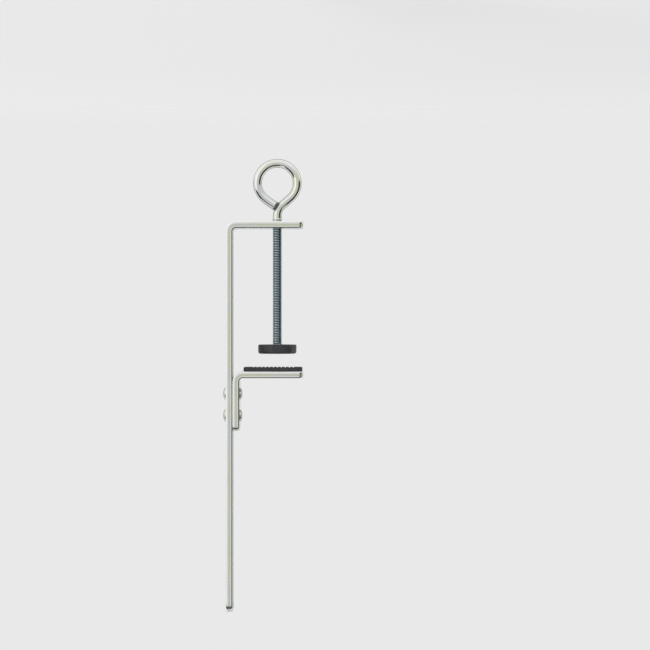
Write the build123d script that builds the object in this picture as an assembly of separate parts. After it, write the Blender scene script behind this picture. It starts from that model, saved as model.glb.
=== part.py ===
from build123d import *
import math
import os

# Table tennis net clamp: a bent flat-steel bar (lower jaw, web and net post in
# one strip), a riveted upper jaw with a soft pad, and a bent-wire eye screw
# with a swivelling pressure disc.
#
# Frame, millimetres: +Z up the net post, origin on the plane of the table top,
# on the axis of the eye screw.  The web stands on the +X side and both jaws
# point to -X.  The strip is symmetric about Y = 0.
#
# The screw stands fully home, with the pressure disc near the upper jaw.

# ---------------------------------------------------------------- dimensions
# flat steel strip
strip_t = 4.0            # thickness
strip_w = 20.0           # width, along Y
bend_r_in = 2.0          # inner radius of both bends
edge_r = 0.4             # rolled edge of the strip
web_out = 30.5           # outer face of the web, from the screw axis
jaw_tip = 15.5           # tip of both jaws, from the screw axis
tip_corner_r = 3.0       # plan corners at the jaw tips
throat = 83.0            # table plane to the lower jaw's inner face
post_top = 146.0         # top of the net post above the table plane
post_corner_r = 5.0      # corners at the top of the post
cord_slot_w = 4.0        # slot in the top of the post for the net cord
cord_slot_d = 6.0        # its depth: the cord lies 140 mm above the table

# upper jaw, an angle cut from the same strip
jaw_pad_t = 2.5          # soft pad between the jaw and the table
leg_top = 38.0           # top of the riveted leg

# rivets, in a vertical line
rivet_d = 4.0
rivet_z = (16.0, 29.0)
rivet_head_d = 7.6
rivet_head_h = 1.9
rivet_tail_d = 7.0
rivet_tail_h = 1.5
rivet_gap = 0.03         # shank to hole

# eye screw, M6 x 1 rolled on 5.4 mm wire
wire_d = 5.4
thread_d = 5.9
tapped_hole_d = 6.0
thread_pitch = 1.0
turns = 69               # full travel, in turns of the screw
ring_r = 11.9            # centreline radius of the eye
ring_drop = 23.3         # centre of the eye below the lower jaw
leg_slope = 41.0         # slope of the two straight legs of the eye, degrees
neck_r = 8.5             # centreline radius of the bend at the neck
thread_runout = 1.3      # thread left outside the lower jaw
tail_r = 40.0            # gentle curve of the free end of the wire
tail_turn = 11.5         # degrees

# swivelling pressure disc and its cap
cap_top = 8.0            # top of the cap below the table plane, screw home
cap_r = 11.5
cap_t = 2.0
cap_h = 5.5
cap_lip_r = 8.6          # opening under the disc
disc_r = 9.85
disc_t = 1.5
dish_r = 5.2             # outer radius of the dished centre
dish_d = 1.6             # its depth
neck_d = 4.0             # turned-down end of the screw
disc_hole_d = 4.15
peen_d = 6.4
peen_h = 1.1
play = 0.12              # end play of the disc on the screw

os.makedirs("parts", exist_ok=True)


def on_xz(points, arcs):
    """A closed face in the XZ plane from straight and arc edges in order."""
    edges = []
    for i, p in enumerate(points):
        q = points[(i + 1) % len(points)]
        mid = arcs.get(i)
        a, b = Vector(p[0], 0, p[1]), Vector(q[0], 0, q[1])
        if mid:
            edges.append(Edge.make_three_point_arc(a, Vector(mid[0], 0, mid[1]), b))
        else:
            edges.append(Edge.make_line(a, b))
    return Face(Wire(edges))


def strip_from(points, arcs):
    """The strip whose edge profile is the given outline, full width along Y."""
    face = on_xz(points, arcs)
    body = extrude(face, amount=strip_w / 2, dir=(0, 1, 0), both=True)
    return body


def cyl_z(r, z0, z1, x=0.0, y=0.0):
    return Pos(x, y, (z0 + z1) / 2) * Cylinder(r, z1 - z0)


def cyl_x(r, x0, x1, z):
    return Pos((x0 + x1) / 2, 0, z) * Rot(0, 90, 0) * Cylinder(r, x1 - x0)


def round_side_edges(body, r):
    """Round the long edges on both side faces of a strip."""
    half = strip_w / 2
    edges = [
        e
        for f in body.faces()
        if abs(abs(f.center().Y) - half) < 1e-4 and abs(f.normal_at().Y) > 0.99
        for e in f.outer_wire().edges()
    ]
    return fillet(edges, r)


web_in = web_out - strip_t
bend_r_out = bend_r_in + strip_t
k = math.sqrt(0.5)

# ---------------------------------------------------------------- clamp bar
z_in = -throat
z_out = -throat - strip_t
cx, cz = web_out - bend_r_out, z_out + bend_r_out
bar = strip_from(
    [
        (-jaw_tip, z_out),
        (cx, z_out),
        (web_out, cz),
        (web_out, post_top),
        (web_in, post_top),
        (web_in, cz),
        (cx, z_in),
        (-jaw_tip, z_in),
    ],
    {
        1: (cx + bend_r_out * k, cz - bend_r_out * k),
        5: (cx + bend_r_in * k, cz - bend_r_in * k),
    },
)
tip = [
    e
    for e in bar.edges().filter_by(Axis.Z)
    if abs(e.center().X + jaw_tip) < 1e-4
]
bar = fillet(tip, tip_corner_r)
top = [
    e
    for e in bar.edges().filter_by(Axis.X)
    if abs(e.center().Z - post_top) < 1e-4
]
bar = fillet(top, post_corner_r)
bar = round_side_edges(bar, edge_r)
# cord slot: a round-bottomed slot down from the top of the post
slot_r = cord_slot_w / 2
slot_z = post_top - cord_slot_d + slot_r
bar -= cyl_x(slot_r, web_in - 1, web_out + 1, slot_z)
bar -= Pos((web_in + web_out) / 2, 0, (slot_z + post_top + 1) / 2) * Box(
    strip_t + 2, cord_slot_w, post_top + 1 - slot_z
)
# tapped hole and rivet holes
bar -= cyl_z(tapped_hole_d / 2, z_out - 1, z_in + 1)
for z in rivet_z:
    bar -= cyl_x(rivet_d / 2 + rivet_gap, web_in - 1, web_out + 1, z)

# ---------------------------------------------------------------- upper jaw
leg_out = web_in
leg_in = web_in - strip_t
j0 = jaw_pad_t
j1 = jaw_pad_t + strip_t
ux, uz = leg_out - bend_r_out, j0 + bend_r_out
upper = strip_from(
    [
        (-jaw_tip, j0),
        (ux, j0),
        (leg_out, uz),
        (leg_out, leg_top),
        (leg_in, leg_top),
        (leg_in, uz),
        (ux, j1),
        (-jaw_tip, j1),
    ],
    {
        1: (ux + bend_r_out * k, uz - bend_r_out * k),
        5: (ux + bend_r_in * k, uz - bend_r_in * k),
    },
)
tip = [
    e
    for e in upper.edges().filter_by(Axis.Z)
    if abs(e.center().X + jaw_tip) < 1e-4
]
upper = fillet(tip, tip_corner_r)
top = [
    e
    for e in upper.edges().filter_by(Axis.X)
    if abs(e.center().Z - leg_top) < 1e-4
]
upper = fillet(top, tip_corner_r)
upper = round_side_edges(upper, edge_r)
for z in rivet_z:
    upper -= cyl_x(rivet_d / 2 + rivet_gap, leg_in - 1, leg_out + 1, z)

# ---------------------------------------------------------------- jaw pad
pad_x0, pad_x1 = -jaw_tip + 0.5, ux - 0.5
pad_w = strip_w - 1.0
pad = Pos((pad_x0 + pad_x1) / 2, 0, jaw_pad_t / 2) * Box(
    pad_x1 - pad_x0, pad_w, jaw_pad_t
)
pad = fillet(pad.edges().filter_by(Axis.Z), 2.6)
pad = fillet(pad.faces().sort_by(Axis.Z)[0].outer_wire().edges(), 0.5)


# ---------------------------------------------------------------- rivets
def rivet(z):
    """Domed head on the web, upset head on the leg, shank through both."""
    xh = web_out
    xt = leg_in
    rh, hh = rivet_head_d / 2, rivet_head_h
    rt, ht = rivet_tail_d / 2, rivet_tail_h
    rs = rivet_d / 2
    # profile in the plane of X and radius
    def arc_mid(r, h):
        big = (r * r + h * h) / (2 * h)
        a = math.asin(r / big) / 2
        return big * math.sin(a), big * math.cos(a) - (big - h)
    mr, mx = arc_mid(rh, hh - 0.3)
    nr, nx = arc_mid(rt, ht - 0.3)
    V = lambda x, r: Vector(x, 0, z + r)
    edges = [
        Edge.make_line(V(xt - ht, 0), V(xh + hh, 0)),
        Edge.make_three_point_arc(V(xh + hh, 0), V(xh + 0.3 + mx, mr), V(xh + 0.3, rh)),
        Edge.make_line(V(xh + 0.3, rh), V(xh, rh)),
        Edge.make_line(V(xh, rh), V(xh, rs)),
        Edge.make_line(V(xh, rs), V(xt, rs)),
        Edge.make_line(V(xt, rs), V(xt, rt)),
        Edge.make_line(V(xt, rt), V(xt - 0.3, rt)),
        Edge.make_three_point_arc(V(xt - 0.3, rt), V(xt - 0.3 - nx, nr), V(xt - ht, 0)),
    ]
    return revolve(Face(Wire(edges)), axis=Axis((0, 0, z), (1, 0, 0)))


rivets = [rivet(z) for z in rivet_z]

# ---------------------------------------------------------------- eye screw
zc = z_out - ring_drop
wire_r = wire_d / 2


def eye(u, v):
    """A point of the eye's plane: u towards -X, v away from the thread."""
    return Vector(-u, 0, zc - v)


slope = math.radians(leg_slope)
v_meet = -ring_r / math.cos(slope)
turn = math.pi / 2 - slope
tan_len = neck_r * math.tan(turn / 2)
v_bend = v_meet - tan_len
start = eye(0, v_meet - tan_len)
bend_c = (neck_r, v_bend)
bend_mid = eye(
    bend_c[0] - neck_r * math.cos(turn / 2), bend_c[1] + neck_r * math.sin(turn / 2)
)
bend_end = eye(
    bend_c[0] - neck_r * math.cos(turn), bend_c[1] + neck_r * math.sin(turn)
)
a0 = -(math.pi / 2 - slope)          # where the leg meets the ring
a1 = math.pi + (math.pi / 2 - slope)  # where the free end leaves it
on_ring = lambda a: eye(ring_r * math.cos(a), ring_r * math.sin(a))
# free end: it goes on the same way round with the larger radius tail_r
tc = (
    (ring_r - tail_r) * math.cos(a1),
    (ring_r - tail_r) * math.sin(a1),
)
tail_a = math.radians(tail_turn)


def on_tail(s):
    return eye(tc[0] + tail_r * math.cos(a1 + s), tc[1] + tail_r * math.sin(a1 + s))


z_thread0 = z_out - thread_runout
path = Wire(
    [
        Edge.make_line(Vector(0, 0, z_thread0 + 1.0), start),
        Edge.make_three_point_arc(start, bend_mid, bend_end),
        Edge.make_line(bend_end, on_ring(a0)),
        Edge.make_three_point_arc(on_ring(a0), on_ring((a0 + math.pi / 2) / 2), on_ring(math.pi / 2)),
        Edge.make_three_point_arc(on_ring(math.pi / 2), on_ring((a1 + math.pi / 2) / 2), on_ring(a1)),
        Edge.make_three_point_arc(on_ring(a1), on_tail(tail_a / 2), on_tail(tail_a)),
    ]
)
section = Plane(origin=(0, 0, z_thread0 + 1.0), z_dir=(0, 0, -1)) * Circle(wire_r)
hook = sweep(section, path=path)

disc_bottom = -cap_top - cap_t - disc_t      # underside of the flat rim
dish_bottom = disc_bottom - dish_d
shoulder = dish_bottom - play
z_peen0 = dish_bottom + disc_t + play
screw = (
    hook
    + cyl_z(thread_d / 2, z_thread0, shoulder)
    + cyl_z(neck_d / 2, shoulder - 1.0, z_peen0 + 0.2)
    + cyl_z(peen_d / 2, z_peen0, z_peen0 + peen_h)
)
peen_edge = [
    e
    for e in screw.edges().filter_by(GeomType.CIRCLE)
    if abs(e.center().Z - (z_peen0 + peen_h)) < 1e-4
]
screw = fillet(peen_edge, 0.7)
chamfered = [
    e
    for e in screw.edges().filter_by(GeomType.CIRCLE)
    if abs(e.center().Z - shoulder) < 1e-4 and abs(e.radius - thread_d / 2) < 1e-3
]
screw = chamfer(chamfered, 0.5)

# ------------------------------------------------------- swivelling disc
# a flat rim with a dished centre that the end of the screw is peened into
pts = [
    (disc_hole_d / 2, dish_bottom),
    (dish_r - 1.0, dish_bottom),
    (dish_r + 0.4, disc_bottom),
    (disc_r, disc_bottom),
    (disc_r, disc_bottom + disc_t),
    (dish_r + 0.4 - 0.75, disc_bottom + disc_t),
    (dish_r - 1.0 - 0.75, dish_bottom + disc_t),
    (disc_hole_d / 2, dish_bottom + disc_t),
]
disc = revolve(
    Face(Wire([
        Edge.make_line(
            Vector(pts[i][0], 0, pts[i][1]),
            Vector(pts[(i + 1) % len(pts)][0], 0, pts[(i + 1) % len(pts)][1]),
        )
        for i in range(len(pts))
    ])),
    axis=Axis.Z,
)

# ------------------------------------------------------- soft cap on the disc
c_top = -cap_top
c_bot = -cap_top - cap_h
lip_top = disc_bottom
cap = cyl_z(cap_r, c_bot, c_top)
cap = fillet(
    [e for e in cap.edges().filter_by(GeomType.CIRCLE) if abs(e.center().Z - c_top) < 1e-4],
    1.2,
)
cap = fillet(
    [e for e in cap.edges().filter_by(GeomType.CIRCLE) if abs(e.center().Z - c_bot) < 1e-4],
    0.6,
)
cap -= cyl_z(disc_r, disc_bottom, c_top - cap_t)
cap -= cyl_z(cap_lip_r, c_bot - 1, disc_bottom + 0.01)

# ---------------------------------------------------------------- output
nodes = {
    "clamp_bar": bar,
    "upper_jaw": upper,
    "jaw_pad": pad,
    "jaw_rivets": Compound(children=[s for x in rivets for s in x.solids()]),
    "eye_screw": screw,
    "swivel_disc": disc,
    "disc_cap": cap,
}
for name, shape in nodes.items():
    export_step(shape, f"parts/{name}.step")
    print(name, len(shape.solids()), round(sum(s.volume for s in shape.solids()), 2))
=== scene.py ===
import math

import bpy
import numpy as np
from mathutils import Matrix, Vector
from mathutils.geometry import delaunay_2d_cdt


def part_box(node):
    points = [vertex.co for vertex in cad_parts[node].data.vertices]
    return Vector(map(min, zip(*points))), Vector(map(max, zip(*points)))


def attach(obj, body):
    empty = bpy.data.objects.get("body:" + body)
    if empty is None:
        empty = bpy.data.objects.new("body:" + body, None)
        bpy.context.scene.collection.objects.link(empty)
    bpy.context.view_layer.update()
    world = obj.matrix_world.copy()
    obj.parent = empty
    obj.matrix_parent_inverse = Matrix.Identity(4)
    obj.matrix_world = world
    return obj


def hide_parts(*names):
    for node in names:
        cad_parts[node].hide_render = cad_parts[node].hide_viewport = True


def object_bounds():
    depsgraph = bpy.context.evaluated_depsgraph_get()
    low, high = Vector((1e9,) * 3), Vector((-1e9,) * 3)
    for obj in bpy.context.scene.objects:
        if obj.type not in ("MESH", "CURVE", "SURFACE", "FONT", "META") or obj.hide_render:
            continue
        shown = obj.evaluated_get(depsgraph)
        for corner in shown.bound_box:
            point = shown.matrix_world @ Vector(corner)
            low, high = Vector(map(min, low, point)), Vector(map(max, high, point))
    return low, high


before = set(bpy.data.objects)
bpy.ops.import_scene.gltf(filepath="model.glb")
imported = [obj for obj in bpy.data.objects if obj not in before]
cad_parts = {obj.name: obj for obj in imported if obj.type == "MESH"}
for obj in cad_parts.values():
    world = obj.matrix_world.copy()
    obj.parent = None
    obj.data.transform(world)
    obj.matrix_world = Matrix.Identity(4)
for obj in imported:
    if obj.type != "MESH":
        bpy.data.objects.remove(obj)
cad_lo, cad_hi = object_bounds()

MM = 0.001

# ------------------------------------------------------------------ sizes, mm
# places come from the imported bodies, the small sizes are the design's own
bar_lo, bar_hi = [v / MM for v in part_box("clamp_bar")]
jaw_lo, jaw_hi = [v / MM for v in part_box("upper_jaw")]
pad_lo, pad_hi = [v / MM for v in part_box("jaw_pad")]
riv_lo, riv_hi = [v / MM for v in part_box("jaw_rivets")]
scr_lo, scr_hi = [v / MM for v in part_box("eye_screw")]
dsc_lo, dsc_hi = [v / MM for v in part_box("swivel_disc")]
cap_lo, cap_hi = [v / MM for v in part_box("disc_cap")]

T = 4.0                        # strip thickness
HALF_W = (bar_hi.y - bar_lo.y) / 2
BEND_IN = 2.0
BEND_MID = BEND_IN + T / 2
BEND_OUT = BEND_IN + T
TIP_R = 3.0
POST_R = 5.0
SLOT_W, SLOT_D = 4.0, 6.0
HOLE_R = 3.0
RIVET_R = 2.0
RIVET_Z = (16.0, 29.0)
WIRE_R = 2.7
THREAD_R = 2.95
THREAD_DEPTH = 0.58
PITCH = 1.0
RING_R = 11.9
LEG_SLOPE = math.radians(41.0)
NECK_R = 8.5
TAIL_R = 40.0
TAIL_TURN = math.radians(11.5)


# ------------------------------------------------------------------ mesh tools
def hashed(n, seed):
    """n repeatable numbers from -1 to 1."""
    return np.random.RandomState(seed).uniform(-1, 1, n)


def new_object(name, verts_mm, faces, normals=None, smooth=True, attributes=None):
    mesh = bpy.data.meshes.new(name)
    mesh.from_pydata((np.asarray(verts_mm, float) * MM).tolist(), [], [tuple(int(i) for i in f) for f in faces])
    mesh.validate(verbose=False)
    mesh.update()
    if smooth:
        mesh.polygons.foreach_set("use_smooth", [True] * len(mesh.polygons))
    for key, values in (attributes or {}).items():
        values = np.asarray(values, np.float32)
        kind = "FLOAT_VECTOR" if values.ndim == 2 else "FLOAT"
        attribute = mesh.attributes.new(key, kind, "POINT")
        attribute.data.foreach_set("vector" if values.ndim == 2 else "value", values.ravel())
    if normals is not None:
        n = np.asarray(normals, float)
        n = n / np.maximum(np.linalg.norm(n, axis=1, keepdims=True), 1e-12)
        mesh.normals_split_custom_set_from_vertices(n.tolist())
    obj = bpy.data.objects.new(name, mesh)
    bpy.context.scene.collection.objects.link(obj)
    return obj


def signed_volume(verts, faces):
    v = np.asarray(verts, float)
    total = 0.0
    for f in faces:
        a = v[f[0]]
        for i in range(1, len(f) - 1):
            total += np.dot(a, np.cross(v[f[i]], v[f[i + 1]]))
    return total / 6


def outward(verts, faces):
    """The same faces, all turned outwards."""
    if signed_volume(verts, faces) < 0:
        return [tuple(reversed(f)) for f in faces]
    return faces


def inside(poly, p):
    """Which points p lie inside a closed polygon."""
    x, y = p[:, 0], p[:, 1]
    result = np.zeros(len(p), bool)
    n = len(poly)
    for i in range(n):
        x0, y0 = poly[i]
        x1, y1 = poly[(i + 1) % n]
        cond = (y0 > y) != (y1 > y)
        with np.errstate(divide="ignore", invalid="ignore"):
            xi = (x1 - x0) * (y - y0) / (y1 - y0) + x0
        result ^= cond & (x < xi)
    return result


def loop_normals(poly):
    """Outward normals of a counter-clockwise closed loop."""
    p = np.asarray(poly, float)
    a = p - np.roll(p, 1, axis=0)
    b = np.roll(p, -1, axis=0) - p
    a /= np.linalg.norm(a, axis=1, keepdims=True)
    b /= np.linalg.norm(b, axis=1, keepdims=True)
    t = a + b
    t /= np.linalg.norm(t, axis=1, keepdims=True)
    n = np.stack([t[:, 1], -t[:, 0]], axis=1)
    # mitre, so that an inset keeps its distance to both edges
    an = np.stack([a[:, 1], -a[:, 0]], axis=1)
    scale = 1 / np.maximum(0.5, (n * an).sum(1))
    return n, scale


def arc(cx, cy, r, a0, a1, n):
    return [
        (cx + r * math.cos(a0 + (a1 - a0) * i / n), cy + r * math.sin(a0 + (a1 - a0) * i / n))
        for i in range(n + 1)
    ]


def plate(outline, holes, t, profile, hole_profiles, cross, ragged=0.0, seed=1):
    """A flat plate in (s, y, n). Its edge follows a profile of (inset, n, sheared), from the +n face to the -n face, and so do its holes.
    cross lists pairs of outline points that a constraint joins. Returns points, normals, faces and the sheared share of each point."""
    pts, nor, faces, shear = [], [], [], []
    loops = [(np.asarray(outline, float), profile, True)]
    for h, pr in zip(holes, hole_profiles):
        loops.append((np.asarray(h, float), pr, False))
    shape = []
    for poly, pr, outer in loops:
        n, k = loop_normals(poly)
        shape.append((poly, pr, outer, n if outer else -n, k))
    sides = []
    for side in (0, -1):
        flat, edges, starts = [], [], []
        for poly, pr, outer, n, k in shape:
            base = len(flat)
            starts.append(base)
            flat += [tuple(q) for q in poly - n * (pr[side][0] * k)[:, None]]
            edges += [(base + i, base + (i + 1) % len(poly)) for i in range(len(poly))]
        edges += list(cross)
        vout, _, tri, ids, _, _ = delaunay_2d_cdt([Vector(q) for q in flat], edges, [], 0, 1e-5, True)
        vout = np.array([tuple(v) for v in vout])
        place = {}
        for new, olds in enumerate(ids):
            for o in olds:
                place[o] = new
        cen = np.array([vout[list(f)].mean(0) for f in tri])
        keep = np.ones(len(tri), bool)
        for which, (poly, pr, outer, n, k) in enumerate(shape):
            loop = flat[starts[which]: starts[which] + len(poly)]
            hit = inside(loop, cen)
            keep &= hit if outer else ~hit
        base = len(pts)
        up = 1 if side == 0 else -1
        for v in vout:
            pts.append((v[0], v[1], up * t / 2))
            nor.append((0, 0, up))
            shear.append(0.0)
        for f, ok in zip(tri, keep):
            if ok:
                faces.append(tuple(base + i for i in (f if up == 1 else reversed(f))))
        sides.append([[base + place[starts[w] + i] for i in range(len(loops[w][0]))] for w in range(len(loops))])
    rnd = hashed(64, seed)
    for which, (poly, pr, outer, n, k) in enumerate(shape):
        m = len(poly)
        run = np.concatenate([[0], np.cumsum(np.linalg.norm(np.diff(poly, axis=0), axis=1))])
        wave = sum(rnd[3 * q] * np.sin(run * (0.35 + 0.9 * q + 0.4 * rnd[3 * q + 1]) + 6 * rnd[3 * q + 2]) for q in range(8)) / 3
        rings = [sides[0][which]]
        for q in range(1, len(pr) - 1):
            off, z, sh = pr[q]
            # the profile's own direction gives the normal
            d = np.array([pr[q + 1][0] - pr[q - 1][0], pr[q + 1][1] - pr[q - 1][1]])
            d /= np.linalg.norm(d)
            no, nz = -d[1], -d[0]
            if q == 1:
                no, nz = no * 0.6, nz + 0.5
            if q == len(pr) - 2:
                no, nz = no * 0.6, nz - 0.5
            row = []
            for i in range(m):
                row.append(len(pts))
                shift = ragged * wave[i] if 0 < sh <= 1 and abs(z) < t * 0.2 else 0.0
                pts.append((poly[i][0] - n[i][0] * off * k[i], poly[i][1] - n[i][1] * off * k[i], z + shift))
                nor.append((n[i][0] * no, n[i][1] * no, nz))
                shear.append(sh)
            rings.append(row)
        rings.append(sides[1][which])
        for r0, r1 in zip(rings, rings[1:]):
            for i in range(m):
                j = (i + 1) % m
                quad = (r0[i], r1[i], r1[j], r0[j])
                faces.append(quad if outer else tuple(reversed(quad)))
    return np.array(pts), np.array(nor), faces, np.array(shear)


def quarter(a, b, z, sign, n, inset=0.0):
    """Points of a rounded edge: an ellipse a deep and b high that ends at height z."""
    out = []
    for i in range(n + 1):
        t = i / n * math.pi / 2
        out.append((inset + a * (1 - math.sin(t)), z + sign * b * math.cos(t)))
    return out if sign > 0 else out[::-1]


# a strip's edge as a slitting shear leaves it: rolled over and burnished on the outside of the bends, torn and then broken on the inside
SHEARED = (
    [(x, z, 0.0) for x, z in quarter(0.50, 0.55, 1.45, 1, 7)]
    + [(0.0, 1.25, 0.0), (0.0, 0.90, 0.0), (0.002, 0.60, 0.02)]
    + [(0.040, 0.50, 0.6), (0.065, 0.40, 1.0), (0.075, 0.15, 1.0), (0.080, -0.35, 1.0), (0.078, -0.62, 1.0), (0.078, -0.78, 0.5)]
    + [(0.080, -0.88, 0.02), (0.082, -1.32, 0.02), (0.105, -1.39, 0.02), (0.15, -1.46, 0.0), (0.26, -1.625, 0.0), (0.37, -1.79, 0.0), (0.44, -1.88, 0.0), (0.51, -1.94, 0.0), (0.59, -1.98, 0.0), (0.68, -2.0, 0.0)]
)


def burnished(plan, normals, shear):
    """1 on the rolled-over and burnished part of an edge, 0 elsewhere; the material paints this band near white, partly
    as a painted highlight.
    """
    return np.where(((plan[:, 2] > 0.55) | (plan[:, 2] < -0.80)) & (plan[:, 2] > -1.36) & (np.abs(normals[:, 2]) < 0.97) & (shear < 0.3), 1.0, 0.0)


def bevelled(t, c, r):
    """A plain wall with a small round at both ends."""
    half = t / 2
    return (
        [(x, z, 0.0) for x, z in quarter(c, c, half - c, 1, r)]
        + [(0.0, half - c - 0.08, 0.0), (0.0, 0.0, 0.0), (0.0, c + 0.08 - half, 0.0)]
        + [(x, z, 0.0) for x, z in quarter(c, c, c - half, -1, r)]
    )


def countersunk(t, c):
    """A tapped hole's wall with a short straight countersink at both ends."""
    half = t / 2
    return [(c, half, 0), (c - 0.02, half - 0.015, 0), (0.02, half - c + 0.02, 0), (0.0, half - c - 0.02, 0), (0.0, half - c - 0.1, 0.5), (0, 0, 0.5),
            (0.0, c + 0.1 - half, 0.5), (0.0, c + 0.02 - half, 0), (0.02, c - 0.02 - half, 0), (c - 0.02, 0.015 - half, 0), (c, -half, 0)]


def strip_outline(length, half, r0, r1, lines, slot=None):
    """Counter-clockwise outline in (s, y): a strip with rounded corners, and the pairs of points that the cross lines join."""
    out, low, high = [], {}, {}
    lines = sorted(x for x in lines if r0 + 0.3 < x < length - r1 - 0.3)
    out += arc(r0, -half + r0, r0, math.pi, 1.5 * math.pi, 10)
    for x in lines:
        low[x] = len(out)
        out.append((x, -half))
    out += arc(length - r1, -half + r1, r1, -0.5 * math.pi, 0, 12)
    if slot:
        w, d, c = slot[0] / 2, slot[1], 0.7
        out += arc(length - c, -w - c, c, 0, 0.5 * math.pi, 5)
        out += [(length - d + w, -w)] if d - w - c > 0.5 else []
        out += arc(length - d + w, 0, w, 1.5 * math.pi, 0.5 * math.pi, 16)[1:-1]
        out += [(length - d + w, w)]
        out += arc(length - c, w + c, c, 1.5 * math.pi, 2 * math.pi, 5)
    out += arc(length - r1, half - r1, r1, 0, 0.5 * math.pi, 12)
    for x in reversed(lines):
        high[x] = len(out)
        out.append((x, half))
    out += arc(r0, half - r0, r0, 0.5 * math.pi, math.pi, 10)
    # drop repeated neighbours, keeping the indices right
    kept, renumber = [], {}
    for i, p in enumerate(out):
        if kept and math.hypot(p[0] - kept[-1][0], p[1] - kept[-1][1]) < 1e-4:
            renumber[i] = len(kept) - 1
            continue
        renumber[i] = len(kept)
        kept.append(p)
    return kept, [(renumber[low[x]], renumber[high[x]]) for x in lines]


def circle(cx, cy, r, n):
    return [(cx + r * math.cos(2 * math.pi * i / n), cy + r * math.sin(2 * math.pi * i / n)) for i in range(n)]


def bent(pts, nor, straight, x0, z_mid, swell=0.32):
    """Bends a flat strip: along +X on the plane z_mid from x0, then up through a right angle. n is positive on the outside of the bend."""
    s, y, n = pts.T.copy()
    a_len = BEND_MID * math.pi / 2
    a = np.clip((s - straight) / BEND_MID, 0, math.pi / 2)
    past = np.maximum(0, s - straight - a_len)
    before = np.minimum(s, straight)
    # the inside of a bend swells sideways and the outside draws in
    w = np.clip(1 - np.abs((s - straight - a_len / 2) / (a_len * 0.95)), 0, 1)
    w = w * w * (3 - 2 * w)
    half = np.abs(y).max()
    y2 = y * (1 - w * swell / half * (n / (T / 2)) * np.abs(y / half) ** 3)
    # the wall thins a little on the outside
    n2 = n - w * 0.08 * (n > 0)
    ang = a - math.pi / 2
    cx, cz = x0 + straight, z_mid + BEND_MID
    x = np.where(s <= straight, x0 + before, cx + (BEND_MID + n2) * np.cos(ang))
    z = np.where(s <= straight, z_mid - n2, cz + (BEND_MID + n2) * np.sin(ang))
    z = z + past
    ns, ny, nn = nor.T
    # local frame: tangent along s, normal on the outside
    tx, tz = np.cos(a), np.sin(a)
    ox, oz = np.cos(ang), np.sin(ang)
    return np.stack([x, y2, z], 1), np.stack([ns * tx + nn * ox, ny, ns * tz + nn * oz], 1)


def spread(a, b, step, avoid=()):
    """Cross lines from a to b, clear of the holes."""
    n = max(1, round((b - a) / step))
    return [
        a + (b - a) * i / n
        for i in range(n + 1)
        if all(abs(a + (b - a) * i / n - c) > r for c, r in avoid)
    ]


# ------------------------------------------------------------------ clamp bar
straight = bar_hi.x - BEND_OUT - bar_lo.x
z_mid = bar_lo.z + T / 2
arc_len = BEND_MID * math.pi / 2
bar_len = straight + arc_len + (bar_hi.z - (z_mid + BEND_MID))
s_hole = 0.0 - bar_lo.x
s_of_z = lambda z: straight + arc_len + z - (z_mid + BEND_MID)
avoid = [(s_hole, HOLE_R + 1.2)] + [(s_of_z(z), RIVET_R + 1.0) for z in RIVET_Z]
lines = (
    spread(4, straight - 1.5, 3.0, avoid)
    + spread(straight - 0.8, straight + arc_len + 0.8, 0.32)
    + spread(straight + arc_len + 2, bar_len - POST_R - 1, 4.0, avoid)
)
outline, cross = strip_outline(bar_len, HALF_W, TIP_R, POST_R, lines, slot=(SLOT_W, SLOT_D))
holes = [circle(s_hole, 0, HOLE_R, 48)] + [circle(s_of_z(z), 0, RIVET_R + 0.03, 32) for z in RIVET_Z]
plan, flat_n, faces, shear = plate(
    outline, holes, T, SHEARED, [countersunk(T, 0.45), bevelled(T, 0.15, 3), bevelled(T, 0.15, 3)], cross, ragged=0.10, seed=5
)
pts, nrm = bent(plan, flat_n, straight, bar_lo.x, z_mid)
faces = outward(pts, faces)
clamp_bar = new_object("clamp_bar_steel", pts, faces, nrm, attributes={"plan": plan, "shear": shear, "burnish_and_highlight": burnished(plan, flat_n, shear)})
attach(clamp_bar, "frame")
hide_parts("clamp_bar")

# ------------------------------------------------------------------ upper jaw
straight_u = jaw_hi.x - BEND_OUT - jaw_lo.x
zu_mid = jaw_lo.z + T / 2
jaw_len = straight_u + arc_len + (jaw_hi.z - (zu_mid + BEND_MID))
su_of_z = lambda z: straight_u + arc_len + z - (zu_mid + BEND_MID)
avoid = [(su_of_z(z), RIVET_R + 1.0) for z in RIVET_Z]
lines = (
    spread(4, straight_u - 1.5, 4.0)
    + spread(straight_u - 0.8, straight_u + arc_len + 0.8, 0.32)
    + spread(straight_u + arc_len + 2, jaw_len - TIP_R - 1, 4.0, avoid)
)
outline, cross = strip_outline(jaw_len, HALF_W, TIP_R, TIP_R, lines)
holes = [circle(su_of_z(z), 0, RIVET_R + 0.03, 32) for z in RIVET_Z]
plan, flat_n, faces, shear = plate(outline, holes, T, SHEARED, [bevelled(T, 0.15, 3), bevelled(T, 0.15, 3)], cross, ragged=0.10, seed=9)
pts, nrm = bent(plan, flat_n, straight_u, jaw_lo.x, zu_mid, swell=0.25)
faces = outward(pts, faces)
plan_u = plan + np.array([400.0, 30.0, 0.0])
upper_jaw = new_object("upper_jaw_steel", pts, faces, nrm, attributes={"plan": plan_u, "shear": shear, "burnish_and_highlight": burnished(plan, flat_n, shear)})
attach(upper_jaw, "frame")
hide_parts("upper_jaw")

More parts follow.
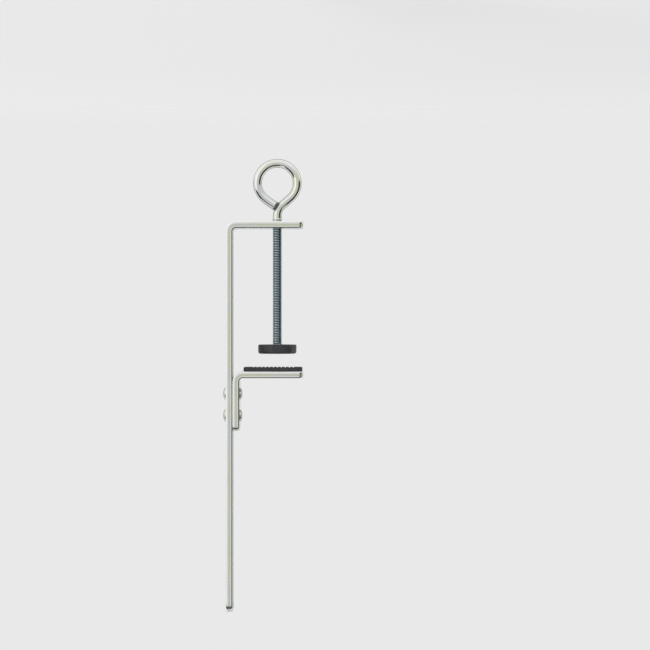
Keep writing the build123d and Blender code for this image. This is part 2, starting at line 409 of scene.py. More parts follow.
# ------------------------------------------------------------------ jaw pad
pl, pw = pad_hi.x - pad_lo.x, pad_hi.y - pad_lo.y
pt = pad_hi.z - pad_lo.z
RIB_PITCH, GROOVE_W, GROOVE_D = 2.4, 0.9, 0.55
n_groove = int((pl - 6.4) / RIB_PITCH)
first = pl / 2 - RIB_PITCH * (n_groove - 1) / 2
cuts = [first + RIB_PITCH * i for i in range(n_groove)]
across_lines = sorted(c + d for c in cuts for d in (-GROOVE_W / 2, -GROOVE_W / 2 + 0.12, -0.18, 0.18, GROOVE_W / 2 - 0.12, GROOVE_W / 2))
outline, cross = strip_outline(pl, pw / 2, 2.6, 2.6, across_lines)
plan, flat_n, faces, shear = plate(outline, [], pt, bevelled(pt, 0.5, 5), [], cross)
pts = plan.copy()
gap = np.min(np.abs(plan[:, 0][:, None] - np.array(cuts)[None, :]), axis=1)
groove = np.interp(gap, [0.0, 0.18, GROOVE_W / 2 - 0.12, GROOVE_W / 2], [1.0, 1.0, 0.45, 0.0])
low = np.clip((0.15 - plan[:, 2]) / (pt / 2 + 0.15), 0, 1)
pts[:, 2] += GROOVE_D * groove * low
pts[:, 0] += pad_lo.x
pts[:, 2] += (pad_hi.z + pad_lo.z) / 2
faces = outward(pts, faces)
jaw_pad = new_object("jaw_pad_rubber", pts, faces, attributes={"plan": plan})
jaw_pad.data.set_sharp_from_angle(angle=math.radians(35))
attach(jaw_pad, "frame")
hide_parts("jaw_pad")


# ------------------------------------------------------------------ turned pieces
def lathe(profile, segs, closed=True, wobble=None):
    """A closed profile of (radius, height) turned about +Z. Points on the axis are shared."""
    verts, rows = [], []
    for k, (r, z) in enumerate(profile):
        if r < 1e-6:
            rows.append([len(verts)] * segs)
            verts.append((0.0, 0.0, z))
            continue
        row = []
        for i in range(segs):
            a = 2 * math.pi * i / segs
            d = wobble(a, r, z) if wobble else 0.0
            row.append(len(verts))
            verts.append(((r + d) * math.cos(a), (r + d) * math.sin(a), z))
        rows.append(row)
    faces = []
    pairs = list(zip(rows, rows[1:] + ([rows[0]] if closed else [])))
    for r0, r1 in pairs:
        for i in range(segs):
            j = (i + 1) % segs
            f = [r0[i], r0[j], r1[j], r1[i]]
            f = [q for n, q in enumerate(f) if q not in f[:n]]
            if len(f) > 2:
                faces.append(tuple(f))
    return np.array(verts), outward(verts, faces)


def rounded(points, radii, n=5):
    """A closed profile with each corner rounded."""
    out = []
    m = len(points)
    for i in range(m):
        p = np.array(points[i], float)
        r = radii[i]
        if r <= 0:
            out.append(tuple(p))
            continue
        a = np.array(points[i - 1], float) - p
        b = np.array(points[(i + 1) % m], float) - p
        la, lb = np.linalg.norm(a), np.linalg.norm(b)
        a, b = a / la, b / lb
        half = math.acos(max(-1, min(1, float(a @ b)))) / 2
        d = min(r / math.tan(half), la * 0.48, lb * 0.48)
        r = d * math.tan(half)
        c = p + (a + b) / np.linalg.norm(a + b) * (r / math.sin(half))
        p0, p1 = p + a * d, p + b * d
        a0 = math.atan2(*(p0 - c)[::-1])
        a1 = math.atan2(*(p1 - c)[::-1])
        while a1 - a0 > math.pi:
            a1 -= 2 * math.pi
        while a1 - a0 < -math.pi:
            a1 += 2 * math.pi
        for k in range(n + 1):
            t = a0 + (a1 - a0) * k / n
            out.append((max(0.0, c[0] + r * math.cos(t)), c[1] + r * math.sin(t)))
    return out


# ------------------------------------------------------------------ rivets
def rivet(index, z):
    web_out, leg_in = bar_hi.x, jaw_hi.x - T
    head_r, tail_r = 3.8, 3.5
    head_h = riv_hi.x - web_out
    tail_h = leg_in - riv_lo.x
    prof = []
    # along +X: tail first
    n = 10
    for k in range(n + 1):
        a = k / n * math.pi / 2
        prof.append((tail_r * math.sin(a) ** 0.9 if k else 0.0, leg_in - 0.25 - (tail_h - 0.25) * math.cos(a) ** 0.8 if k < n else leg_in - 0.25))
    prof.append((tail_r, leg_in - 0.1))
    prof.append((tail_r - 0.12, leg_in))
    prof.append((RIVET_R, leg_in))
    prof.append((RIVET_R, web_out))
    prof.append((head_r - 0.12, web_out))
    prof.append((head_r, web_out + 0.12))
    for k in range(n + 1):
        a = math.pi / 2 * (1 - k / n)
        prof.append((head_r * math.sin(a) if k < n else 0.0, web_out + 0.3 + (head_h - 0.3) * math.cos(a)))
    seed = hashed(16, 40 + index)

    def wobble(a, r, h):
        if h > (leg_in + web_out) / 2 or r < RIVET_R + 0.2:
            return 0.0
        # the closed-up tail is never quite round
        return 0.09 * r / tail_r * (seed[0] * math.cos(2 * a + seed[1]) + 0.6 * seed[2] * math.cos(3 * a + 2 * seed[3]) - 0.8)

    v, f = lathe(prof, 48, closed=False, wobble=wobble)
    # turned about Z with height along +Z: lay it along +X at height z
    v = np.stack([v[:, 2], v[:, 1], -v[:, 0] + z], 1)
    return v, outward(v, f)


rv, rf = [], []
for i, z in enumerate(RIVET_Z):
    v, f = rivet(i, z)
    base = sum(len(x) for x in rv)
    rv.append(v)
    rf += [tuple(q + base for q in g) for g in f]
rv = np.concatenate(rv)
jaw_rivets = new_object("jaw_rivets_steel", rv, rf, attributes={"plan": rv * 1.0})
jaw_rivets.data.set_sharp_from_angle(angle=math.radians(50))
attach(jaw_rivets, "frame")
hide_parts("jaw_rivets")

# ------------------------------------------------------------------ eye screw
N = 48
z_jaw_out = bar_lo.z
z_ring = scr_lo.z + RING_R + WIRE_R
turn = math.pi / 2 - LEG_SLOPE
v_meet = -RING_R / math.cos(LEG_SLOPE)
v_bend = v_meet - NECK_R * math.tan(turn / 2)
a0, a1 = -turn, math.pi + turn


def eye(u, v):
    return np.array([-u, 0.0, z_ring - v])


z_run = z_jaw_out - 2.0           # where the rolled thread has run out into the wire
path = []
z_bend = z_ring - v_bend


def add(points):
    for p in points:
        if not path or np.linalg.norm(p - path[-1]) > 1e-4:
            path.append(p)


add([np.array([0, 0, z_run + (z_bend - z_run) * t]) for t in np.linspace(0, 1, 8)])
add([eye(NECK_R - NECK_R * math.cos(t), v_bend + NECK_R * math.sin(t)) for t in np.linspace(0, turn, 26)])
ring_at = lambda a: eye(RING_R * math.cos(a), RING_R * math.sin(a))
p0, p1 = path[-1], ring_at(a0)
add([p0 + (p1 - p0) * t for t in np.linspace(0, 1, 10)])
add([ring_at(t) for t in np.linspace(a0, a1, 130)])
tc = ((RING_R - TAIL_R) * math.cos(a1), (RING_R - TAIL_R) * math.sin(a1))
add([eye(tc[0] + TAIL_R * math.cos(a1 + t), tc[1] + TAIL_R * math.sin(a1 + t)) for t in np.linspace(0, TAIL_TURN, 14)])
path = np.array(path)
tang = np.gradient(path, axis=0)
tang /= np.linalg.norm(tang, axis=1, keepdims=True)
tang[0] = (0, 0, -1)
side_dir = np.cross(tang, np.array([0.0, 1.0, 0.0]))
along = np.concatenate([[0], np.cumsum(np.linalg.norm(np.diff(path, axis=0), axis=1))])
total = along[-1]
# curvature, for the slight flattening that bending leaves
curv = np.linalg.norm(np.gradient(tang, axis=0), axis=1) / np.maximum(np.gradient(along), 1e-6)
curv = np.convolve(np.pad(curv, 4, mode="edge"), np.ones(9) / 9, mode="valid")
theta = 2 * math.pi * np.arange(N) / N
verts, faces, plan, cutv = [], [], [], []

shoulder = dsc_lo.z - 0.12
z_full = z_jaw_out - 1.25         # thread at full height from here on

# threaded length: a helical grid, so that crests and roots are clean lines
offsets = np.array([0.0, 0.085, 0.14, 0.28, 0.405, 0.455, 0.5, 0.545, 0.595, 0.72, 0.86, 0.915])
m = len(offsets)


def thread_radius(u):
    """Radius at a share u of the pitch, from one root to the next."""
    a = np.minimum(u, 1 - u)
    t = np.clip((a - 0.11) / (0.405 - 0.11), 0, 1)
    return (THREAD_R - THREAD_DEPTH) + THREAD_DEPTH * t


turns_needed = int(math.ceil((shoulder - z_run) / PITCH)) + 3
z_base = z_run - PITCH
count = turns_needed * N
ii = np.arange(count + N + 1)
grid_z = z_base + PITCH * ii[:, None] / N + PITCH * offsets[None, :]
grid_a = 2 * math.pi * (ii % N) / N
rad = thread_radius(np.broadcast_to(offsets[None, :], grid_z.shape))
fade = np.clip((grid_z - z_run) / (z_full - z_run), 0, 1)
fade = fade * fade * (3 - 2 * fade)
blank = WIRE_R
r = blank + (rad - blank) * fade
grid_z = np.clip(grid_z, z_run, shoulder)
# lead chamfer at the far end
r_end = THREAD_R - 0.62
r = np.minimum(r, r_end + (shoulder - grid_z) * 0.9)
gx, gy = r * np.cos(grid_a)[:, None], r * np.sin(grid_a)[:, None]
tv = np.stack([gx, gy, grid_z], 2).reshape(-1, 3)
tplan = np.stack([grid_z, np.broadcast_to(grid_a[:, None], grid_z.shape) * 2.95, r], 2).reshape(-1, 3)
tf = []
for i in range(count):
    for j in range(m):
        a = i * m + j
        b = (i + 1) * m + j
        if j + 1 < m:
            c, d = (i + 1) * m + j + 1, i * m + j + 1
        else:
            c, d = (i + 1 + N) * m if i + 1 + N < len(ii) else -1, (i + N) * m if i + N < len(ii) else -1
        if c < 0 or d < 0:
            continue
        tf.append((a, b, c, d))
# weld: points at the two clamped ends fall on two rings of N points
key = {}
remap = np.zeros(len(tv), int)
tverts, tplans = [], []
for idx, p in enumerate(tv):
    k = (round(p[0], 4), round(p[1], 4), round(p[2], 4))
    if k not in key:
        key[k] = len(tverts)
        tverts.append(p)
        tplans.append(tplan[idx])
    remap[idx] = key[k]
faces = []
for f in tf:
    g = [int(remap[q]) for q in f]
    g = [q for n, q in enumerate(g) if q not in g[:n]]
    if len(g) < 3:
        continue
    zs = [tverts[q][2] for q in g]
    # faces that lie wholly on an end ring have no area
    if max(zs) - min(zs) < 1e-6:
        continue
    faces.append(tuple(g))
verts = list(tverts)
plan = list(tplans)
used = sorted({q for f in faces for q in f})
ring_lo = [key[(round(blank * math.cos(t), 4), round(blank * math.sin(t), 4), round(z_run, 4))] for t in theta]
ring_hi = [key[(round(r_end * math.cos(t), 4), round(r_end * math.sin(t), 4), round(shoulder, 4))] for t in theta]
cutv = [0.0] * len(verts)


def add_ring(points, s, cut_value=0.0):
    row = []
    for k, p in enumerate(points):
        row.append(len(verts))
        verts.append(np.asarray(p, float))
        plan.append((s, theta[k] * WIRE_R, WIRE_R))
        cutv.append(cut_value)
    return row


def join_rings(r0, r1):
    for k in range(N):
        j = (k + 1) % N
        faces.append((r0[k], r1[k], r1[j], r0[j]))


# the eye: shank, neck, ring and free end
last = ring_lo
for i in range(1, len(path)):
    flat = 1 - 0.35 * min(curv[i], 0.13)          # in the plane of the bend
    wide = 1 + 0.14 * min(curv[i], 0.13)         # across it
    row = add_ring(
        [
            path[i] + side_dir[i] * (WIRE_R * flat * math.cos(t)) + np.array([0, 1.0, 0]) * (WIRE_R * wide * math.sin(t))
            for t in theta
        ],
        200 + along[i],
    )
    join_rings(last, row)
    last = row
# cropped end: the rim rounded over, then the face, sheared a little off square
e, ed, es = path[-1], tang[-1], side_dir[-1]
centre_side = 1.0 if es @ (np.array([0, 0, z_ring]) - e) > 0 else -1.0
lip = [0.10 * max(0.0, centre_side * math.cos(t)) ** 2 for t in theta]
near = (along > 4.0) & (along < 24.0)
neck_line, neck_rad = path[near], WIRE_R * (1 - 0.35 * np.minimum(curv[near], 0.13))


def room(w):
    """How far the cut face can reach at w across the wire before it meets the shank."""
    d = 0.0
    while d < 1.2 and (np.linalg.norm(neck_line - (e + es * w + ed * d), axis=1) - neck_rad).min() > 0.06:
        d += 0.02
    return min(d, 0.95)


crown = {round(w, 2): room(w) for w in np.arange(-2.8, 2.81, 0.1)}
crown_w, crown_d = np.array(sorted(crown)), np.array([crown[w] for w in sorted(crown)])
print("room before the cut face", float(crown_d.min()), float(crown_d.max()))
for off, scale, share in ((-0.06, 0.985, 0.4), (0.00, 0.95, 0.8), (0.03, 0.88, 1.0), (0.03, 0.62, 0.4), (0.03, 0.25, 0.0)):
    row = add_ring(
        [
            e + ed * (off - 0.09 + max(0.19, float(np.interp(WIRE_R * scale * math.cos(t), crown_w, crown_d)) + 0.06) * (1 - (scale * math.sin(t)) ** 2))
            + es * (WIRE_R * scale * math.cos(t)) + np.array([0, 1.0, 0]) * (WIRE_R * scale * math.sin(t))
            for q, t in enumerate(theta)
        ],
        200 + total + off,
        1.0,
    )
    join_rings(last, row)
    last = row
verts.append(e + ed * (float(np.interp(0.0, crown_w, crown_d)) - 0.02))
plan.append((200 + total, 0, 0))
cutv.append(1.0)
tip_i = len(verts) - 1
for k in range(N):
    faces.append((last[k], tip_i, last[(k + 1) % N]))
# the turned-down end and the head that is peened over in the disc
z_floor_disc = dsc_lo.z + 1.5
peen_top = scr_hi.z
neck_prof = [
    (2.12, shoulder + 0.02), (2.0, shoulder + 0.06), (2.0, z_floor_disc - 0.1 + 0.2), (2.15, z_floor_disc + 0.14),
    (2.9, z_floor_disc + 0.15), (3.12, z_floor_disc + 0.28), (3.2, z_floor_disc + 0.5), (3.1, z_floor_disc + 0.78),
    (2.7, peen_top - 0.14), (2.0, peen_top - 0.03), (1.0, peen_top),
]
last = ring_hi
for rr, zz in neck_prof:
    row = add_ring([(rr * math.cos(t), rr * math.sin(t), zz) for t in theta], zz, 1.0)
    join_rings(row, last)
    last = row
verts.append(np.array([0, 0, peen_top - 0.02]))
plan.append((peen_top, 0, 0))
cutv.append(1.0)
tip_i = len(verts) - 1
for k in range(N):
    faces.append((last[(k + 1) % N], tip_i, last[k]))
# drop the points that no face uses
used = sorted({q for f in faces for q in f})
new_index = {q: i for i, q in enumerate(used)}
verts = np.array([verts[q] for q in used])
plan = np.array([plan[q] for q in used], float)
cutv = np.array([cutv[q] for q in used])
faces = [tuple(new_index[q] for q in f) for f in faces]
radial = np.hypot(verts[:, 0], verts[:, 1])
on_thread = (verts[:, 2] > z_run - 0.01) & (verts[:, 2] < shoulder + 0.01) & (radial < 3.2)
thread_mask = np.clip((verts[:, 2] - (z_jaw_out + 1.0)) / 2.5, 0, 1) * on_thread
# painted shade: this depth into the thread's roots, stored as the groove attribute, darkens the wire's colour in the
# roots to stand in for the shade deep in the V-grooves
root_shade = np.clip((THREAD_R - radial) / THREAD_DEPTH, 0, 1) * np.clip((verts[:, 2] - z_run) / 1.2, 0, 1) * on_thread
root_shade = root_shade * (0.15 + 0.85 * thread_mask)
eye_screw = new_object("eye_screw_steel", verts, faces, attributes={"plan": plan, "cut": cutv, "threaded": thread_mask, "groove": root_shade})
nv = np.zeros(len(verts) * 3, np.float32)
eye_screw.data.vertex_normals.foreach_get("vector", nv)
nv = nv.reshape(-1, 3)
if signed_volume(verts, faces) < 0:
    nv = -nv
# painted shade: a mask on the cut face and on the neck where it faces the cut end, which the material paints near black
# as the shade in the slit between them
to_end = np.linalg.norm((verts - e) * np.array([1.0, 0.85, 1.0]), axis=1)
s_along = plan[:, 0] - 200
on_end = (s_along > total - 0.9) & (s_along < total + 1.0)
facing = np.clip((-(nv @ ed) - 0.15) / 0.45, 0, 1)
near_slit = np.clip((4.3 - to_end) / 1.6, 0, 1)
shade = np.where(on_end, np.clip((s_along - (total - 0.10)) / 0.08, 0, 1), np.where(s_along < 40, facing * near_slit, 0.0)) * (s_along > -60)
shade = np.where(plan[:, 0] < 190, 0.0, shade)
attribute = eye_screw.data.attributes.new("painted_slit_shade", "FLOAT", "POINT")
attribute.data.foreach_set("value", shade.astype(np.float32))
import bmesh

bm = bmesh.new()
bm.from_mesh(eye_screw.data)
bmesh.ops.recalc_face_normals(bm, faces=bm.faces)
open_edges = sum(1 for ed_ in bm.edges if not ed_.is_manifold)
bm.to_mesh(eye_screw.data)
bm.free()
eye_screw.data.polygons.foreach_set("use_smooth", [True] * len(eye_screw.data.polygons))
eye_screw.data.set_sharp_from_angle(angle=math.radians(62))
print("eye_screw open edges", open_edges, "points", len(verts))
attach(eye_screw, "screw")
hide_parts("eye_screw")

# ------------------------------------------------------------------ swivel disc
zb, zr = dsc_lo.z, dsc_lo.z + 1.6
prof = rounded(
    [(2.08, zb), (4.2, zb), (5.6, zr), (9.85, zr), (9.85, zr + 1.5), (4.85, zr + 1.5), (3.45, zb + 1.5), (2.08, zb + 1.5)],
    [0.15, 0.6, 0.8, 0.25, 0.25, 0.5, 0.6, 0.2],
)
v, f = lathe(prof, 72)
swivel_disc = new_object("swivel_disc_steel", v, f, attributes={"plan": v})
swivel_disc.data.set_sharp_from_angle(angle=math.radians(40))
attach(swivel_disc, "pressure_pad")
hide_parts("swivel_disc")

# ------------------------------------------------------------------ soft cap
cr = (cap_hi.x - cap_lo.x) / 2
ct, cb = cap_hi.z, cap_lo.z
prof = rounded(
    [(0, ct - 2.0), (9.9, ct - 2.0), (9.9, ct - 3.5), (8.6, ct - 3.5), (8.6, cb), (cr, cb), (cr, ct), (0, ct)],
    [0, 0.1, 0.1, 0.25, 0.4, 0.7, 1.3, 0],
    n=6,
)
v, f = lathe(prof, 96, closed=False)
disc_cap = new_object("disc_cap_vinyl", v, f, attributes={"plan": v})
disc_cap.data.set_sharp_from_angle(angle=math.radians(40))
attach(disc_cap, "pressure_pad")
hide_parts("disc_cap")


# ------------------------------------------------------------------ materials
class Nodes:
    """A small helper that wires a material's nodes."""

    def __init__(self, name):
        self.mat = bpy.data.materials.new(name)
        self.mat.use_nodes = True
        self.tree = self.mat.node_tree
        self.tree.nodes.clear()
        self.out = self.tree.nodes.new("ShaderNodeOutputMaterial")
        self.bsdf = self.tree.nodes.new("ShaderNodeBsdfPrincipled")
        self.link(self.bsdf, "BSDF", self.out, "Surface")

    def link(self, a, sa, b, sb):
        self.tree.links.new(a.outputs[sa], b.inputs[sb])

    def attr(self, name):
        n = self.tree.nodes.new("ShaderNodeAttribute")
        n.attribute_name = name
        return n

    def scaled(self, src, out, xyz, shift=(0, 0, 0)):
        n = self.tree.nodes.new("ShaderNodeMapping")
        n.vector_type = "POINT"
        n.inputs["Scale"].default_value = xyz
        n.inputs["Location"].default_value = shift
        self.link(src, out, n, "Vector")
        return n

    def noise(self, src, out, scale, detail=3.0, rough=0.5, distort=0.0):
        n = self.tree.nodes.new("ShaderNodeTexNoise")
        n.inputs["Scale"].default_value = scale
        n.inputs["Detail"].default_value = detail
        n.inputs["Roughness"].default_value = rough
        n.inputs["Distortion"].default_value = distort
        self.link(src, out, n, "Vector")
        return n

    def ramp(self, src, out, stops, interp="LINEAR"):
        n = self.tree.nodes.new("ShaderNodeValToRGB")
        n.color_ramp.interpolation = interp
        while len(n.color_ramp.elements) < len(stops):
            n.color_ramp.elements.new(0.5)
        for el, (pos, col) in zip(n.color_ramp.elements, stops):
            el.position = pos
            el.color = (*col, 1) if len(col) == 3 else col
        self.link(src, out, n, "Fac")
        return n

    def math(self, op, a, b=None, clamp=False):
        n = self.tree.nodes.new("ShaderNodeMath")
        n.operation = op
        n.use_clamp = clamp
        for i, x in enumerate((a, b)):
            if x is None:
                continue
            if isinstance(x, (int, float)):
                n.inputs[i].default_value = x
            else:
                self.tree.links.new(x, n.inputs[i])
        return n.outputs[0]

    def mix(self, fac, a, b, blend="MIX"):
        n = self.tree.nodes.new("ShaderNodeMix")
        n.data_type = "RGBA"
        n.blend_type = blend
        for sock, x in ((n.inputs[0], fac), (n.inputs[6], a), (n.inputs[7], b)):
            if isinstance(x, (int, float)):
                sock.default_value = x
            elif isinstance(x, tuple):
                sock.default_value = (*x, 1) if len(x) == 3 else x
            else:
                self.tree.links.new(x, sock)
        return n.outputs[2]

    def bump(self, height, strength, distance, normal=None):
        n = self.tree.nodes.new("ShaderNodeBump")
        n.inputs["Strength"].default_value = strength
        n.inputs["Distance"].default_value = distance
        self.tree.links.new(height, n.inputs["Height"])
        if normal is not None:
            self.tree.links.new(normal, n.inputs["Normal"])
        return n.outputs[0]

    def to(self, socket, name):
        self.tree.links.new(socket, self.bsdf.inputs[name])


def hairlines(k, source, angle, stretch, scale, width, seed):
    """Sparse hairline scratches: thin contours of a stretched noise, broken up by a second noise."""
    m = k.tree.nodes.new("ShaderNodeMapping")
    m.inputs["Rotation"].default_value = (0, 0, math.radians(angle))
    m.inputs["Scale"].default_value = (scale / stretch, scale, scale * 0.6)
    m.inputs["Location"].default_value = (seed * 3.1, seed * 7.7, seed)
    k.link(source, "Vector", m, "Vector")
    n = k.noise(m, "Vector", 1.0, 1.0, 0.4)
    near = k.math("ABSOLUTE", k.math("SUBTRACT", n.outputs["Fac"], 0.5))
    line = k.math("SUBTRACT", 1.0, k.math("DIVIDE", near, width), clamp=True)
    gate_at = k.scaled(source, "Vector", (0.09, 0.13, 0.13), (seed, 0, seed * 2))
    gate = k.ramp(k.noise(gate_at, "Vector", 1.0, 1.0, 0.5), "Fac", [(0.50, (0, 0, 0)), (0.60, (1, 1, 1))])
    return k.math("MULTIPLY", line, gate.outputs["Color"])


def zinc(name, base=(0.715, 0.725, 0.73), rough=0.16, tint=1.0, scratched=1.0, grain=0.22, lines_axis=0, tints=None, extra=(), edge=(0.62, 0.64, 0.62, 1)):
    """Bright electroplated zinc: faint passivation colours, drawn lines along the stock, hairline scratches and duller
    patches.
    extra names the attributes that the piece carries: shear, cut, groove and the slit's mask; groove and the slit's
    mask paint shade into the thread's roots and into the slit at the cut end, and shear brings the burnished band,
    painted near white partly as a highlight."""
    k = Nodes(name)
    plan = k.attr("plan")
    # passivation clouds, 8 to 40 mm across
    if tints is None:
        cloud = k.noise(k.scaled(plan, "Vector", (0.028, 0.060, 0.05)), "Vector", 1.0, 2.0, 0.5, 0.5)
        tinted = k.ramp(
            cloud, "Fac",
            [(0.32, (0.65, 0.69, 0.74)), (0.43, base), (0.53, (0.73, 0.74, 0.69)), (0.62, (0.725, 0.74, 0.63)), (0.72, (0.66, 0.73, 0.68))],
        )
    else:
        ripple = k.noise(k.scaled(plan, "Vector", (0.15, 0.25, 0.25)), "Vector", 1.0, 2.0, 0.5)
        split = k.tree.nodes.new("ShaderNodeSeparateXYZ")
        k.link(plan, "Vector", split, "Vector")
        at = k.math("ADD", split.outputs["X"], k.math("MULTIPLY", k.math("SUBTRACT", ripple.outputs["Fac"], 0.5), 14.0))
        lo, hi = tints[0][0], tints[-1][0]
        fac = k.tree.nodes.new("ShaderNodeMapRange")
        k.tree.links.new(at, fac.inputs["Value"])
        fac.inputs["From Min"].default_value = lo
        fac.inputs["From Max"].default_value = hi
        tinted = k.ramp(fac, "Result", [((q - lo) / (hi - lo), c) for q, c in tints])
    colour = k.mix(tint, base, tinted.outputs["Color"])
    # small speckle of the plating
    speck = k.noise(k.scaled(plan, "Vector", (1, 1, 1)), "Vector", 3.2, 5.0, 0.7)
    colour = k.mix(k.math("MULTIPLY", speck.outputs["Fac"], 0.10), colour, (0.50, 0.52, 0.53))
    # drawn lines along the stock
    ls = (0.04, 4.5, 4.5) if lines_axis == 0 else (4.5, 4.5, 0.04)
    lines = k.noise(k.scaled(plan, "Vector", ls), "Vector", 1.0, 4.0, 0.65)
    # duller patches, from handling
    dull = k.ramp(k.noise(k.scaled(plan, "Vector", (0.5, 0.8, 0.8)), "Vector", 0.6, 4.0, 0.6), "Fac", [(0.52, (0, 0, 0)), (0.72, (1, 1, 1))])
    dull = k.math("MULTIPLY", dull.outputs["Color"], 0.5)
    colour = k.mix(k.math("MULTIPLY", dull, 0.35), colour, (0.60, 0.615, 0.60))
    scratch = k.math("MAXIMUM", hairlines(k, plan, 8, 40, 0.9, 0.012, 1.0), hairlines(k, plan, -27, 30, 0.7, 0.010, 5.0))
    scratch = k.math("MULTIPLY", scratch, scratched)
    r = k.math("ADD", k.math("MULTIPLY", lines.outputs["Fac"], 0.14), rough - 0.07)
    r = k.math("ADD", r, k.math("MULTIPLY", dull, 0.16))
    r = k.math("ADD", r, k.math("MULTIPLY", scratch, 0.16))
    height = k.math("ADD", k.math("MULTIPLY", lines.outputs["Fac"], 0.5), k.math("MULTIPLY", speck.outputs["Fac"], 0.35))
    height = k.math("SUBTRACT", height, k.math("MULTIPLY", scratch, 0.8))
    if "groove" in extra:
        groove, th = k.attr("groove"), k.attr("threaded")
        colour = k.mix(k.math("MULTIPLY", th.outputs["Fac"], 0.9), colour, (0.72, 0.83, 0.87))
        # painted shade: the thread's roots are mixed towards near black where they are deepest, in place of the shade
        # in the V-grooves
        deep = k.math("POWER", groove.outputs["Fac"], 1.8)
        colour = k.mix(deep, colour, (0.055, 0.105, 0.115))
        r = k.math("ADD", r, k.math("MULTIPLY", groove.outputs["Fac"], 0.22))
    if "painted_slit_shade" in extra:
        slit_shade = k.attr("painted_slit_shade").outputs["Fac"]
        # painted shade: the slit between the cut end and the neck, and the cut face, are painted near black and made
        # non-metallic so that they read as a shadowed gap
        colour = k.mix(k.math("MULTIPLY", slit_shade, 0.93), colour, (0.035, 0.055, 0.045))
        r = k.math("ADD", r, k.math("MULTIPLY", slit_shade, 0.5))
        k.to(k.math("SUBTRACT", 1.0, k.math("MULTIPLY", slit_shade, 0.97)), "Metallic")
    if "shear" in extra:
        shear = k.attr("shear")
        burnish_and_sheen = k.attr("burnish_and_highlight").outputs["Fac"]
        # partly real, partly painted highlight: the rolled-over and burnished band of the sheared edge is painted near
        # white, brighter than the zinc, so that it shows as a bright line along the edge
        colour = k.mix(k.math("MULTIPLY", burnish_and_sheen, 0.9), colour, (0.965, 0.965, 0.96))
        torn = k.noise(k.scaled(plan, "Vector", (2.2, 2.2, 0.45)), "Vector", 1.6, 5.0, 0.7)
        patchy = k.ramp(k.noise(k.scaled(plan, "Vector", (0.055, 0.055, 0.0)), "Vector", 1.0, 2.0, 0.5), "Fac", [(0.40, (0.25, 0.25, 0.25)), (0.58, (1, 1, 1))])
        sh = k.math("MULTIPLY", shear.outputs["Fac"], patchy.outputs["Color"])
        colour = k.mix(k.math("MULTIPLY", sh, 0.85), colour, k.mix(torn.outputs["Fac"], (0.54, 0.58, 0.40), (0.84, 0.865, 0.69)))
        r = k.math("ADD", r, k.math("MULTIPLY", sh, 0.20))
        height = k.math("ADD", height, k.math("MULTIPLY", k.math("MULTIPLY", torn.outputs["Fac"], sh), 3.2))
    if "cut" in extra:
        cut = k.attr("cut")
        torn = k.noise(k.scaled(plan, "Vector", (1.0, 1.0, 0.6)), "Vector", 5.0, 5.0, 0.7)
        colour = k.mix(k.math("MULTIPLY", cut.outputs["Fac"], 0.5), colour, (0.50, 0.52, 0.50))
        r = k.math("ADD", r, k.math("MULTIPLY", cut.outputs["Fac"], 0.18))
        height = k.math("ADD", height, k.math("MULTIPLY", k.math("MULTIPLY", torn.outputs["Fac"], cut.outputs["Fac"]), 2.5))
    k.to(colour, "Base Color")
    k.to(k.math("MINIMUM", r, 0.7), "Roughness")
    wave = k.noise(k.scaled(plan, "Vector", (0.10, 0.15, 0.15)), "Vector", 1.0, 1.0, 0.4)
    soft = k.bump(wave.outputs["Fac"], 0.35, 0.0003)
    k.to(k.bump(height, grain, 0.00004, soft), "Normal")
    k.bsdf.inputs["Metallic"].default_value = 1.0
    k.bsdf.inputs["Specular Tint"].default_value = edge
    return k.mat


def soft_black(name, base, rough, grain, bump):
    """Moulded black rubber or vinyl: fine pebble, a bloom of dust in soft patches and rubbed spots."""
    k = Nodes(name)
    plan = k.attr("plan")
    at = k.scaled(plan, "Vector", (1, 1, 1))
    peb = k.noise(at, "Vector", grain, 3.0, 0.6)
    fine = k.noise(at, "Vector", grain * 5, 2.0, 0.6)
    dust = k.ramp(k.noise(at, "Vector", 0.35, 4.0, 0.65), "Fac", [(0.45, (0, 0, 0)), (0.75, (1, 1, 1))])
    rub = k.ramp(k.noise(at, "Vector", 0.22, 2.0, 0.5), "Fac", [(0.50, (0, 0, 0)), (0.66, (1, 1, 1))])
    colour = k.mix(k.math("MULTIPLY", dust.outputs["Color"], 0.35), base, tuple(min(1, c * 2.2 + 0.02) for c in base))
    colour = k.mix(k.math("MULTIPLY", fine.outputs["Fac"], 0.25), colour, tuple(c * 0.5 for c in base))
    k.to(colour, "Base Color")
    rr = k.math("ADD", k.math("MULTIPLY", peb.outputs["Fac"], 0.2), rough)
    rr = k.math("SUBTRACT", rr, k.math("MULTIPLY", rub.outputs["Color"], 0.12))
    k.to(rr, "Roughness")
    h = k.math("ADD", k.math("MULTIPLY", peb.outputs["Fac"], 0.7), k.math("MULTIPLY", fine.outputs["Fac"], 0.3))
    k.to(k.bump(h, 0.5, bump), "Normal")
    k.bsdf.inputs["Specular IOR Level"].default_value = 0.4
    return k.mat


